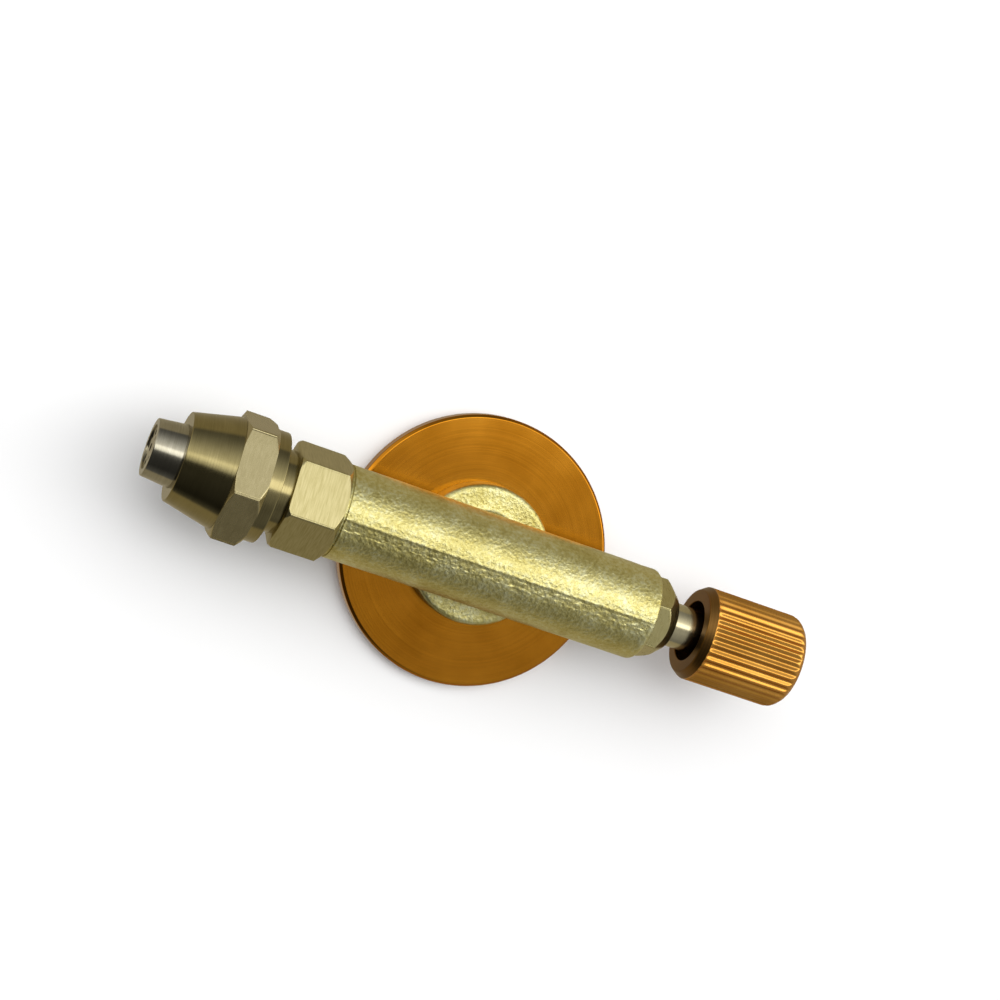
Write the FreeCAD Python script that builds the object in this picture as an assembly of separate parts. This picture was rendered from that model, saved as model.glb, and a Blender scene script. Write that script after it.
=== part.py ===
import FreeCAD, Part
import math
import os

# Canister-top gas valve with a conical nozzle.
# The origin is the centre of the canister inlet's mouth, on the underside of the round flange.
# +Z runs up the inlet, +X runs along the barrel towards the knob. All sizes are in millimetres.

# --- driving dimensions ---
AXIS_Z = 16.4               # height of the barrel's axis above the flange's underside

DISC_R = 21.0
DISC_T = 2.9
DISC_EDGE = 0.4             # chamfer round both rims of the flange
SPIGOT_R = 9.0              # threaded end of the boss, which passes through the flange
RING_NUT_R = 12.2
RING_NUT_POCKET_R = 12.6
RING_NUT_POCKET_H = 1.7
RING_NUT_Z = 0.3            # how far the ring nut sits above the flange's underside

BOSS_R = 10.8
SHOULDER_Z = 6.9            # top of the boss
NECK_R = 6.6                # upright neck between the boss and the barrel
BARREL_R = 7.0
BARREL_END = 24.0
BARREL_ROUND = 1.5

BODY_HEX_AF = 14.0
BODY_HEX_X = (-33.7, -25.8)
BODY_HEX_CLOCK = -14.0      # angle of one corner from +Y towards +Z, in degrees
STEP_GROOVE_W = 0.4
STEP_GROOVE_R = 6.7

CAP_HEX_AF = 17.0
CAP_HEX_X = (-42.45, -37.6)
CAP_HEX_CLOCK = -20.0
CONE_X = -49.6
CONE_R = (6.6, 8.3)         # small end, large end
COLLAR_R = 8.25
COLLAR_END = -35.65
COLLAR_EDGE = 0.25
ADAPTER_NECK_R = 6.15
ADAPTER_FRONT = -45.0
UNION_R = 6.6               # thread between cap and adapter

SOCKET_R = 5.0              # thread between adapter and body
SOCKET_END = -25.4
WASHER_T = 0.8

TIP_END = -53.8
TIP_R = (4.25, 4.7)         # free end, where it leaves the cone
TIP_BORE_R = 3.3
TIP_BEVEL = 0.15
TIP_FLANGE_R = 6.0
TIP_FLANGE_X = (-47.0, -45.6)

INLET_R = 5.556             # 7/16-28 UNEF major radius
INLET_L = 4.5
RELIEF_R = 5.9              # undercut above the thread
RELIEF_TOP = 6.5
SEAL_POCKET_R = 4.65
SEAL_POCKET_TOP = 8.4
PIN_BORE_R = 2.2
PIN_TIP_Z = 4.9
PIN_TOP_Z = 11.2
FILTER_TOP_Z = 12.2
RISER_R = 1.1

OUTLET_R = 1.6
SEAT_X = (-9.5, -5.5)
SEAT_R = 2.6
ORIFICE_R = 0.9
CHAMBER_R = 3.0
CHAMBER_END = 10.5
THREAD_R = 4.0              # spindle thread in the body
THREAD_END = 17.8
GLAND_R = 5.0

RUN = 0.05                  # radial clearance of everything that turns or slides
NEEDLE_TIP_X = -8.6
NEEDLE_TIP_R = 0.4
NEEDLE_END_X = -3.6
NEEDLE_END_R = 1.75
GROOVE_X = (6.4, 7.5)
GROOVE_R = 2.1
STEM_R = 3.35
STEM_END = 37.0
DRIVE_R = 2.5               # flatted end of the spindle inside the knob
DRIVE_FLAT = 1.9
DRIVE_END = 45.1

GLAND_HEX_AF = 11.0
GLAND_HEX_END = 28.1
GLAND_HEX_CLOCK = 7.5
PACKING_X = (18.7, 20.9)

KNOB_X = (32.0, 48.8)
KNOB_R = 7.25
KNOB_EDGE_R = 6.5
KNOB_EDGE_L = (1.3, 1.9)    # length of the bevel at the inner end, and of the rounding at the outer end
KNOB_RECESS_R = 4.7
KNOB_RECESS_L = 4.0
KNOB_WEB_X = 45.3
SCREW_POCKET_R = 3.6
RIDGES = 35
RIDGE_GROOVE_R = 0.46
RIDGE_GROOVE_AT = 7.38      # radius on which the grooves between the ridges are centred

V = FreeCAD.Vector
AXIS = V(0, 0, AXIS_Z)
TAN30 = math.tan(math.radians(30))


# --- shape helpers ---
def solid_of_revolution(points, centre, direction):
    wire = Part.makePolygon(points + points[:1])
    return Part.Face(wire).revolve(centre, direction, 360)


def turned(outline):
    """Round about the barrel's axis, from (x, radius) corners."""
    return solid_of_revolution([V(x, 0, AXIS_Z + r) for x, r in outline], AXIS, V(1, 0, 0))


def upright(outline):
    """Round about the inlet's axis, from (radius, z) corners."""
    return solid_of_revolution([V(r, 0, z) for r, z in outline], V(0, 0, 0), V(0, 0, 1))


def rod(start, end, radius):
    return Part.makeCylinder(radius, end - start, V(start, 0, AXIS_Z), V(1, 0, 0))


def ring(start, end, inner, outer):
    return rod(start, end, outer).cut(rod(start, end, inner))


def post(low, high, radius, x=0.0, y=0.0):
    return Part.makeCylinder(radius, high - low, V(x, y, low), V(0, 0, 1))


def hexagon(across_flats, start, end, clock):
    """Hexagonal bar along the barrel's axis, with a corner at the clock angle."""
    corner = across_flats / math.sqrt(3)
    corners = []
    for k in range(6):
        angle = math.radians(clock + 60 * k)
        corners.append(V(start, corner * math.cos(angle), AXIS_Z + corner * math.sin(angle)))
    face = Part.Face(Part.makePolygon(corners + corners[:1]))
    return face.extrude(V(end - start, 0, 0))


def rounded(shape, radius, x, edge_radius):
    """Fillet the circular edge of the given radius that lies at x on the barrel's axis."""
    edges = []
    for edge in shape.Edges:
        curve = edge.Curve
        if isinstance(curve, Part.Circle) and abs(curve.Center.x - x) < 0.01:
            if abs(curve.Radius - edge_radius) < 0.01:
                edges.append(edge)
    return shape.makeFillet(radius, edges)


def around(count, pitch_radius):
    """Evenly spaced places on a circle, as pairs of sideways offsets."""
    places = []
    for k in range(count):
        angle = 2 * math.pi * k / count
        places.append((pitch_radius * math.cos(angle), pitch_radius * math.sin(angle)))
    return places


# --- forged body and what passes through it ---
def body_hexagon():
    start, end = BODY_HEX_X
    corner = BODY_HEX_AF / math.sqrt(3) + 0.02
    bar = hexagon(BODY_HEX_AF, start, end, BODY_HEX_CLOCK)
    envelope = turned([(start, 0), (start, 7.7), (start + 0.6, corner), (end - 0.9, corner),
                       (end, BARREL_R + 0.05), (end, 0)])
    return bar.common(envelope)


def valve_body():
    barrel = rounded(rod(BODY_HEX_X[1], BARREL_END, BARREL_R), BARREL_ROUND, BARREL_END, BARREL_R)
    groove = ring(BODY_HEX_X[1], BODY_HEX_X[1] + STEP_GROOVE_W, STEP_GROOVE_R, BARREL_R + 1)
    boss = upright([(0, 0), (SPIGOT_R, 0), (SPIGOT_R, DISC_T), (BOSS_R, DISC_T),
                    (BOSS_R, SHOULDER_Z - 0.5), (BOSS_R - 0.5, SHOULDER_Z), (NECK_R, SHOULDER_Z),
                    (NECK_R, AXIS_Z), (0, AXIS_Z)])
    body = barrel.cut(groove).fuse([body_hexagon(), boss])
    bores = [
        rod(BODY_HEX_X[0], SOCKET_END, SOCKET_R),
        rod(SOCKET_END, SEAT_X[0], OUTLET_R),
        rod(SEAT_X[0], SEAT_X[1], SEAT_R),
        rod(SEAT_X[1], CHAMBER_END, CHAMBER_R),
        rod(CHAMBER_END, THREAD_END, THREAD_R),
        rod(THREAD_END, BARREL_END, GLAND_R),
        post(0, INLET_L, INLET_R),
        post(INLET_L, RELIEF_TOP, RELIEF_R),
        post(RELIEF_TOP, SEAL_POCKET_TOP, SEAL_POCKET_R),
        post(SEAL_POCKET_TOP, FILTER_TOP_Z, PIN_BORE_R),
        post(FILTER_TOP_Z, AXIS_Z, RISER_R),
    ]
    return body.cut(bores).removeSplitter()


def flange_disc():
    edge = DISC_EDGE
    return upright([(SPIGOT_R, DISC_T), (SPIGOT_R, RING_NUT_POCKET_H), (RING_NUT_POCKET_R, RING_NUT_POCKET_H),
                    (RING_NUT_POCKET_R, 0), (DISC_R - edge, 0), (DISC_R, edge),
                    (DISC_R, DISC_T - edge), (DISC_R - edge, DISC_T)])


def flange_ring_nut():
    nut = post(RING_NUT_Z, RING_NUT_POCKET_H, RING_NUT_R).cut(post(RING_NUT_Z, RING_NUT_POCKET_H, SPIGOT_R))
    slot = Part.makeBox(2 * RING_NUT_R + 2, 2.0, 0.8, V(-RING_NUT_R - 1, -1.0, RING_NUT_Z))
    return nut.cut(slot)


# --- gas inlet ---
def inlet_seal():
    return Part.makeTorus(3.75, 0.85, V(0, 0, 7.45), V(0, 0, 1))


def depressor_pin():
    pin = upright([(0, PIN_TIP_Z), (0.6, PIN_TIP_Z), (0.9, PIN_TIP_Z + 0.3), (0.9, 7.0), (2.6, 7.0),
                   (2.6, SEAL_POCKET_TOP), (PIN_BORE_R, SEAL_POCKET_TOP), (PIN_BORE_R, PIN_TOP_Z), (0, PIN_TOP_Z)])
    gas_ways = [post(6.0, PIN_TOP_Z, 0.45, x, y) for x, y in around(4, 1.5)]
    return pin.cut(gas_ways)


def inlet_filter():
    return post(PIN_TOP_Z, FILTER_TOP_Z, PIN_BORE_R)


# --- needle valve ---
def needle_radius(x):
    slope = (NEEDLE_END_R - NEEDLE_TIP_R) / (NEEDLE_END_X - NEEDLE_TIP_X)
    return NEEDLE_TIP_R + slope * (x - NEEDLE_TIP_X)


def valve_seat():
    mouth_x = -6.9
    start, end = SEAT_X
    return turned([(start, ORIFICE_R), (start, SEAT_R), (end, SEAT_R), (end, needle_radius(end) + RUN),
                   (mouth_x, needle_radius(mouth_x) + RUN)])


def spindle():
    land = CHAMBER_R - RUN
    thread = THREAD_R - RUN
    body = turned([(NEEDLE_TIP_X, 0), (NEEDLE_TIP_X, NEEDLE_TIP_R), (NEEDLE_END_X, NEEDLE_END_R),
                   (NEEDLE_END_X + 0.25, 2.0), (3.5, 2.0), (4.45, land), (GROOVE_X[0], land),
                   (GROOVE_X[0], GROOVE_R), (GROOVE_X[1], GROOVE_R), (GROOVE_X[1], land), (10.7, land),
                   (11.3, thread), (15.8, thread), (16.0, thread - 0.2), (16.0, STEM_R), (STEM_END, STEM_R),
                   (STEM_END, DRIVE_R), (DRIVE_END, DRIVE_R), (DRIVE_END, 0)])
    flat = Part.makeBox(DRIVE_END - STEM_END, 8, 2, V(STEM_END, -4, AXIS_Z + DRIVE_FLAT))
    screw_hole = rod(38.6, DRIVE_END, 1.25)
    return body.cut([flat, screw_hole])


def stem_o_ring():
    groove_middle = sum(GROOVE_X) / 2
    return Part.makeTorus(2.54, 0.42, V(groove_middle, 0, AXIS_Z), V(1, 0, 0))


def backup_washer():
    return ring(THREAD_END, PACKING_X[0], STEM_R + RUN, GLAND_R)


def packing_ring():
    return ring(PACKING_X[0], PACKING_X[1], STEM_R + RUN, GLAND_R)


def gland_nut():
    corner = GLAND_HEX_AF / math.sqrt(3) + 0.02
    bar = hexagon(GLAND_HEX_AF, BARREL_END, GLAND_HEX_END, GLAND_HEX_CLOCK)
    envelope = turned([(BARREL_END, 0), (BARREL_END, corner), (25.6, corner), (GLAND_HEX_END, 4.1),
                       (GLAND_HEX_END, 0)])
    spigot = rod(PACKING_X[1], BARREL_END, GLAND_R)
    nut = bar.common(envelope).fuse(spigot)
    return nut.cut(rod(PACKING_X[1], GLAND_HEX_END, STEM_R + RUN))


# --- knob ---
def knob():
    start, end = KNOB_X
    bevel, rounding = KNOB_EDGE_L
    blank = turned([(start, 0), (start, KNOB_EDGE_R), (start + bevel, KNOB_R), (end - rounding, KNOB_R),
                    (end - 0.35 * rounding, KNOB_R - 0.3), (end, KNOB_EDGE_R), (end, 0)])
    grooves = []
    for k in range(RIDGES):
        angle = 2 * math.pi * (k + 0.5) / RIDGES
        centre = V(start, RIDGE_GROOVE_AT * math.cos(angle), AXIS_Z + RIDGE_GROOVE_AT * math.sin(angle))
        grooves.append(Part.makeCylinder(RIDGE_GROOVE_R, end - start, centre, V(1, 0, 0)))
    flat = Part.makeBox(KNOB_WEB_X - STEM_END, 8, 2, V(STEM_END, -4, AXIS_Z + DRIVE_FLAT))
    drive_bore = rod(STEM_END, KNOB_WEB_X, DRIVE_R).cut(flat)
    hollows = [
        rod(start, start + KNOB_RECESS_L, KNOB_RECESS_R),
        rod(start + KNOB_RECESS_L, STEM_END, STEM_R),
        drive_bore,
        rod(KNOB_WEB_X, end, SCREW_POCKET_R),
    ]
    return blank.cut(grooves + hollows)


def knob_washer():
    return ring(KNOB_WEB_X, KNOB_WEB_X + 0.5, 1.3, 3.0)


def knob_screw():
    seat = KNOB_WEB_X + 0.5
    screw = turned([(39.2, 0), (39.2, 1.0), (39.5, 1.25), (seat, 1.25), (seat, 2.5), (seat + 0.8, 2.5),
                    (seat + 1.3, 2.1), (seat + 1.5, 1.4), (seat + 1.5, 0)])
    slot = Part.makeBox(0.8, 0.6, 6, V(seat + 0.8, -0.3, AXIS_Z - 3))
    return screw.cut(slot)


# --- nozzle ---
def nozzle_adapter():
    collar = CAP_HEX_X[1]
    spigot_end = SOCKET_END - WASHER_T
    body = turned([(ADAPTER_FRONT, 0), (ADAPTER_FRONT, UNION_R), (collar, UNION_R), (collar, COLLAR_R),
                   (COLLAR_END - COLLAR_EDGE, COLLAR_R), (COLLAR_END, COLLAR_R - COLLAR_EDGE),
                   (COLLAR_END, ADAPTER_NECK_R), (BODY_HEX_X[0], ADAPTER_NECK_R), (BODY_HEX_X[0], SOCKET_R),
                   (spigot_end, SOCKET_R), (spigot_end, 0)])
    return body.cut([rod(ADAPTER_FRONT, -39.5, 2.5), rod(-39.5, spigot_end, 2.0)])


def adapter_washer():
    return ring(SOCKET_END - WASHER_T, SOCKET_END, 2.4, SOCKET_R)


def jet_filter():
    return rod(-38.0, -34.0, 2.0)


def gas_jet():
    head = hexagon(5.5, -46.6, ADAPTER_FRONT, 0)
    shank = rod(ADAPTER_FRONT, -40.0, 2.5)
    return head.fuse(shank).cut([rod(-46.6, -45.6, 0.25), rod(-45.6, -40.0, 1.2)])


def nozzle_cap():
    start, end = CAP_HEX_X
    corner = CAP_HEX_AF / math.sqrt(3) + 0.02
    bar = hexagon(CAP_HEX_AF, start, end, CAP_HEX_CLOCK)
    envelope = turned([(start, 0), (start, 8.7), (start + 0.5, corner), (end - 0.9, corner), (end, 8.85),
                       (end, 0)])
    cone = turned([(CONE_X, 0), (CONE_X, CONE_R[0] - 0.2), (CONE_X + 0.2, CONE_R[0]), (start, CONE_R[1]),
                   (start, 0)])
    cap = cone.fuse(bar.common(envelope))
    pocket = rod(TIP_FLANGE_X[0], ADAPTER_FRONT, TIP_FLANGE_R)
    front_bore = rod(CONE_X, TIP_FLANGE_X[0], TIP_R[1])
    return cap.cut([rod(ADAPTER_FRONT, end, UNION_R), pocket, front_bore])


def nozzle_tip():
    return turned([(TIP_END, TIP_BORE_R), (TIP_END, TIP_R[0] - TIP_BEVEL), (TIP_END + TIP_BEVEL, TIP_R[0]),
                   (CONE_X, TIP_R[1]), (TIP_FLANGE_X[0], TIP_R[1]), (TIP_FLANGE_X[0], TIP_FLANGE_R),
                   (TIP_FLANGE_X[1], TIP_FLANGE_R), (TIP_FLANGE_X[1], TIP_BORE_R)])


def tip_gasket():
    return ring(TIP_FLANGE_X[1], ADAPTER_FRONT, 4.0, TIP_FLANGE_R)


def flame_holder():
    start, end = TIP_END + 0.2, TIP_END + 1.9
    plate = rod(start, end, TIP_BORE_R)
    holes = [rod(start, end, 0.6)]
    for y, z in around(8, 2.2):
        holes.append(Part.makeCylinder(0.42, end - start, V(start, y, AXIS_Z + z), V(1, 0, 0)))
    return plate.cut(holes)


PIECES = [
    valve_body, flange_disc, flange_ring_nut, inlet_seal, depressor_pin, inlet_filter, valve_seat, spindle,
    stem_o_ring, backup_washer, packing_ring, gland_nut, knob, knob_washer, knob_screw, nozzle_adapter,
    adapter_washer, jet_filter, gas_jet, nozzle_cap, nozzle_tip, tip_gasket, flame_holder,
]

os.makedirs("parts", exist_ok=True)
for piece in PIECES:
    shape = piece()
    shape.exportStep(os.path.join("parts", piece.__name__ + ".step"))
    print(piece.__name__, "volume %.1f" % shape.Volume, "solids", len(shape.Solids), "valid", shape.isValid())
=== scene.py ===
import math

import bmesh
import bpy
from mathutils import Matrix, Vector, noise


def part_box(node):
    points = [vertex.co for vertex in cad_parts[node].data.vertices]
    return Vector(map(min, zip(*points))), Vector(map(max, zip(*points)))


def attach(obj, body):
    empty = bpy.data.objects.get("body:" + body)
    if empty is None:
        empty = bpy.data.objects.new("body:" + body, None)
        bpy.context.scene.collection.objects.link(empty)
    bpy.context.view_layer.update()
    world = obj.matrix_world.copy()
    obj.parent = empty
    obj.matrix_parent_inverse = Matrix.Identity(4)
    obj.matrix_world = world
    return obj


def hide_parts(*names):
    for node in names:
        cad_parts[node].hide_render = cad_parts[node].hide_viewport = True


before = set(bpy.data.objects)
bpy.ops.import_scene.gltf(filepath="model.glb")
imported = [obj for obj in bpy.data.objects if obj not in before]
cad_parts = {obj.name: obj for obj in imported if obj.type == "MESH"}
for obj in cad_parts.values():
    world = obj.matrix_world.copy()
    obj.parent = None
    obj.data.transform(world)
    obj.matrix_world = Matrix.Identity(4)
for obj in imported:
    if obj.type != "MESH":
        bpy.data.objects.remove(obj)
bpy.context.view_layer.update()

# Profiles are written in millimetres, along the barrel (x) and out from its axis (radius), as a turner would
# draw them, and become metres when the mesh is made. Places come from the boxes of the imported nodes.
MM = 0.001
WELD = 2e-7                 # metres between points that count as one
FULL_TURN = 2 * math.pi
COS_30 = math.cos(math.pi / 6)


def mm_box(node):
    low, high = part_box(node)
    return low / MM, high / MM


BODY_LOW, BODY_HIGH = mm_box("valve_body")
CAP_LOW, CAP_HIGH = mm_box("nozzle_cap")
TIP_LOW, TIP_HIGH = mm_box("nozzle_tip")
ADAPTER_LOW, ADAPTER_HIGH = mm_box("nozzle_adapter")
GLAND_LOW, GLAND_HIGH = mm_box("gland_nut")
SPINDLE_LOW, SPINDLE_HIGH = mm_box("spindle")
KNOB_LOW, KNOB_HIGH = mm_box("knob")
WASHER_INNER = mm_box("knob_washer")[0].x
PACKING_LOW = mm_box("packing_ring")[0]
NUT_TOP = mm_box("flange_ring_nut")[1].z
DISC_TOP = mm_box("flange_disc")[1].z
DISC_R = mm_box("flange_disc")[1].y

AXIS_Z = (SPINDLE_LOW.z + SPINDLE_HIGH.z) / 2     # height of the barrel's axis

# barrel and its drillings
BARREL_R = 7.0
BODY_HEX_END = -25.8        # where the body's hexagon meets the barrel
BODY_HEX_FLAT = 7.0         # half the size across flats
BODY_HEX_CLOCK = -14.0      # angle of one corner from +Y towards +Z, in degrees
GROOVE_R = 6.7              # turned groove behind the hexagon
GROOVE_W = 0.4
SOCKET_R = 5.0              # thread of the nozzle's adapter
SOCKET_END = -25.4
OUTLET_R = 1.6
SEAT_R = 2.6
SEAT_START, SEAT_END = -9.5, -5.5
CHAMBER_R = 3.0
CHAMBER_END = 10.5
BACKUP_WASHER_W = 0.9
THREAD_END = PACKING_LOW.x - BACKUP_WASHER_W    # the washer lies between this and the packing
THREAD_R = 4.0              # spindle thread
GLAND_R = 5.0               # gland thread

# boss, neck and inlet
SPIGOT_R = 9.0              # passes through the flange
BOSS_R = 10.8
SHOULDER_Z = 6.9            # top of the boss
SHOULDER_FILLET = 0.8
NECK_R = 6.6
NECK_FILLET = 1.1           # climbs from the neck on to the barrel
CROWN_Z = 12.9              # top of the neck, inside the barrel's wall
INLET_R = 5.556
INLET_TOP = 4.5
RELIEF_R = 5.9
RELIEF_TOP = 6.5
SEAL_POCKET_R = 4.65
SEAL_POCKET_TOP = 8.4
PIN_BORE_R = 2.2
PIN_BORE_TOP = 12.2
DRILLED_BORE_R = 2.25       # the pin's bore where it passes the barrel's wall
DRILLED_BORE_LOW = 8.8
RISER_R = 1.1

# nozzle
CAP_HEX_START = -42.45
CAP_HEX_FLAT = 8.5
CAP_HEX_CLOCK = -20.0
CONE_SMALL_R, CONE_LARGE_R = 6.6, 8.3
UNION_R = 6.6               # thread between cap and adapter
COLLAR_R = 8.25
COLLAR_W = 1.95
ADAPTER_NECK_R = 6.15
TIP_R = 4.7
TIP_END_R = 4.25
TIP_BORE_R = 3.3
TIP_FLANGE_R = 6.0
TIP_FLANGE_W = 1.4

# gland nut, spindle, knob
GLAND_HEX_FLAT = 5.5
GLAND_HEX_CLOCK = 7.5
GLAND_HEX_END = 25.6
STEM_R = 3.35
BORE_R = 3.40               # running bore round the stem
DRIVE_R = 2.5
DRIVE_FLAT = 1.9            # from the axis to the flat on the spindle's end
DRIVE_START = 37.0
SCREW_HOLE_R = 1.25
SCREW_HOLE_END = 38.6
KNOB_R = 7.25
KNOB_FACE_R = 6.5           # flat of the inner face, inside its bevel
KNOB_BEVEL = 1.15           # along the barrel, at the knob's inner end
RECESS_R = 4.7
RECESS_DEPTH = 4.0
SCREW_POCKET_R = 3.6
RIDGES = 35


# --- meshes from rings ---
def eased(corners, steps=4):
    """A closed outline from (along, radius, easing) corners. Each corner becomes a small arc of that size."""
    points = []
    count = len(corners)
    for k in range(count):
        along, radius, size = corners[k]
        here = Vector((along, radius))
        before = Vector(corners[k - 1][:2]) - here
        after = Vector(corners[(k + 1) % count][:2]) - here
        if size == 0 or radius == 0:
            points.append(here)
            continue
        reach = min(size, 0.4 * before.length, 0.4 * after.length)
        hold = 0.25 * reach
        start = here + before.normalized() * reach
        end = here + after.normalized() * reach
        points.append(start + before.normalized() * hold)
        for step in range(steps + 1):
            t = step / steps
            points.append(start.lerp(here, t).lerp(here.lerp(end, t), t))
        points.append(end + after.normalized() * hold)
    return points


def divided(points, longest):
    """Cut an outline's stretches. longest(here, following) gives the step, or None to leave one whole."""
    fine = []
    for here, following in zip(points, points[1:] + points[:1]):
        fine.append(here)
        step = longest(here, following)
        if step is None:
            continue
        cuts = math.ceil((following - here).length / step)
        for cut in range(1, cuts):
            fine.append(here.lerp(following, cut / cuts))
    return fine


def steep(here, following):
    return abs(here.y - following.y) > 0.05


def even_angles(count):
    return [FULL_TURN * k / count for k in range(count)]


def mesh_from_rings(name, rings, loop):
    """A closed skin through rings. A ring of one point is a pole; loop joins the last ring to the first."""
    points = []
    starts = []
    for ring in rings:
        starts.append(len(points))
        points.extend(ring)
    faces = []
    pairs = [(k, k + 1) for k in range(len(rings) - 1)]
    if loop:
        pairs.append((len(rings) - 1, 0))
    for low, high in pairs:
        a, b = starts[low], starts[high]
        count = max(len(rings[low]), len(rings[high]))
        for k in range(count):
            nxt = (k + 1) % count
            if len(rings[low]) == 1:
                faces.append((a, b + k, b + nxt))
            elif len(rings[high]) == 1:
                faces.append((a + nxt, a + k, b))
            else:
                faces.append((a + nxt, a + k, b + k, b + nxt))
    mesh = bpy.data.meshes.new(name)
    mesh.from_pydata([Vector(p) * MM for p in points], [], faces)
    weld(mesh)
    face_outwards(mesh)
    mesh.shade_smooth()
    return mesh


def weld(mesh):
    """Join points that fall on each other, and drop the faces between them."""
    work = bmesh.new()
    work.from_mesh(mesh)
    bmesh.ops.remove_doubles(work, verts=work.verts, dist=WELD)
    work.to_mesh(mesh)
    work.free()


def face_outwards(mesh):
    """Turn a closed mesh whose faces point inwards."""
    volume = 0.0
    for face in mesh.polygons:
        corners = [mesh.vertices[v].co for v in face.vertices]
        for k in range(1, len(corners) - 1):
            volume += corners[0].dot(corners[k].cross(corners[k + 1]))
    if volume < 0:
        mesh.flip_normals()


def along_barrel(outline, angles, radius_at=None):
    """Rings about the barrel's axis. radius_at(x, radius, angle) shapes the outline where it isn't round."""
    rings = []
    for x, radius in outline:
        if radius == 0:
            rings.append([(x, 0, AXIS_Z)])
            continue
        ring = []
        for angle in angles:
            r = radius_at(x, radius, angle) if radius_at else radius
            ring.append((x, r * math.cos(angle), AXIS_Z + r * math.sin(angle)))
        rings.append(ring)
    return rings


def about_inlet(outline, angles):
    """Rings about the inlet's upright axis, from (height, radius) points."""
    rings = []
    for height, radius in outline:
        if radius == 0:
            rings.append([(0, 0, height)])
        else:
            rings.append([(radius * math.cos(a), radius * math.sin(a), height) for a in angles])
    return rings


def linked_object(name, mesh):
    made = bpy.data.objects.new(name, mesh)
    bpy.context.scene.collection.objects.link(made)
    return made


def evaluated_mesh(carrier):
    """The plain mesh that an object's modifiers make."""
    bpy.context.view_layer.update()
    evaluated = carrier.evaluated_get(bpy.context.evaluated_depsgraph_get())
    return bpy.data.meshes.new_from_object(evaluated)


def add_piece(name, mesh, material, body, node):
    piece = linked_object(name, mesh)
    if not mesh.materials:
        mesh.materials.append(material)
    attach(piece, body)
    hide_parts(node)


# --- materials ---
def node(tree, kind, settings=None, **inputs):
    """Add a shader node. Inputs are values or sockets, named as on the node with _ for a space, or i0, i1."""
    made = tree.nodes.new("ShaderNode" + kind)
    for key, value in (settings or {}).items():
        setattr(made, key, value)
    for key, value in inputs.items():
        by_place = key[0] == "i" and key[1:].isdigit()
        socket = made.inputs[int(key[1:]) if by_place else key.replace("_", " ")]
        if isinstance(value, bpy.types.NodeSocket):
            tree.links.new(value, socket)
        else:
            socket.default_value = value
    return made


def new_material(name):
    material = bpy.data.materials.new(name)
    material.use_nodes = True
    tree = material.node_tree
    tree.nodes.clear()
    coords = tree.nodes.new("ShaderNodeTexCoord").outputs["Object"]
    return material, tree, coords


def finish_shader(tree, **inputs):
    shader = node(tree, "BsdfPrincipled", **inputs)
    node(tree, "OutputMaterial", Surface=shader.outputs["BSDF"])


def math_node(tree, operation, first, second=0.0):
    return node(tree, "Math", {"operation": operation}, i0=first, i1=second).outputs[0]


def weighted(tree, first, share, second, rest):
    """first * share + second * rest."""
    one = math_node(tree, "MULTIPLY", first, share)
    other = math_node(tree, "MULTIPLY", second, rest)
    return math_node(tree, "ADD", one, other)


def ramp(tree, fac, stops):
    made = node(tree, "ValToRGB", Fac=fac)
    elements = made.color_ramp.elements
    while len(elements) < len(stops):
        elements.new(0.5)
    for element, (position, colour) in zip(elements, stops):
        element.position = position
        element.color = (*colour, 1)
    return made.outputs["Color"]


def spread(tree, value, low, high):
    """Map 0..1 to low..high."""
    return node(tree, "MapRange", Value=value, To_Min=low, To_Max=high).outputs["Result"]


def noise_at(tree, coords, scale, detail=4.0, roughness=0.5):
    made = node(tree, "TexNoise", Vector=coords, Scale=scale, Detail=detail, Roughness=roughness)
    return made.outputs["Fac"]


def bump(tree, height, distance):
    return node(tree, "Bump", Height=height, Distance=distance, Strength=1.0).outputs["Normal"]


def turning_marks(tree, coords, axis, pitch, drift=1.5):
    """Fine rings left by a lathe tool: noise that runs quickly along axis and radius, slowly round them."""
    middle = (0, 0, -AXIS_Z * MM if axis == "X" else 0)
    centred = node(tree, "Mapping", Vector=coords, Location=middle).outputs[0]
    xyz = node(tree, "SeparateXYZ", Vector=centred).outputs
    run, side, up = (xyz["X"], xyz["Y"], xyz["Z"]) if axis == "X" else (xyz["Z"], xyz["X"], xyz["Y"])
    side_squared = math_node(tree, "MULTIPLY", side, side)
    up_squared = math_node(tree, "MULTIPLY", up, up)
    out = math_node(tree, "SQRT", math_node(tree, "ADD", side_squared, up_squared))
    safe = math_node(tree, "MAXIMUM", out, 1e-5)
    across = math_node(tree, "DIVIDE", side, safe)
    rise = math_node(tree, "DIVIDE", up, safe)
    along_rings = math_node(tree, "DIVIDE", run, pitch)
    out_rings = math_node(tree, "DIVIDE", out, pitch)
    round_rings = math_node(tree, "MULTIPLY", across, drift)
    place = node(tree, "CombineXYZ", X=along_rings, Y=out_rings, Z=round_rings).outputs[0]
    turn = math_node(tree, "MULTIPLY", rise, drift)
    marks = node(tree, "TexNoise", {"noise_dimensions": "4D"}, Vector=place, W=turn,
                 Scale=1.0, Detail=3.0, Roughness=0.6)
    return marks.outputs["Fac"]


def flat_marks(tree, coords, across, along):
    """Short milling strokes that run round the bar: fine along X, stretched across it."""
    stretched = node(tree, "Mapping", Vector=coords, Scale=(across, along, along)).outputs[0]
    return noise_at(tree, stretched, 1.0, 4.0, 0.6)


FORGED_DARK = (0.51, 0.43, 0.125)
FORGED_MIDDLE = (0.68, 0.61, 0.245)
FORGED_PALE = (0.82, 0.80, 0.47)
MILLED_DARK = (0.395, 0.34, 0.148)
MILLED_PALE = (0.53, 0.465, 0.235)
BLAST_DEPTH = 0.00009       # metres of bump in the shot-blasted skin


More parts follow.
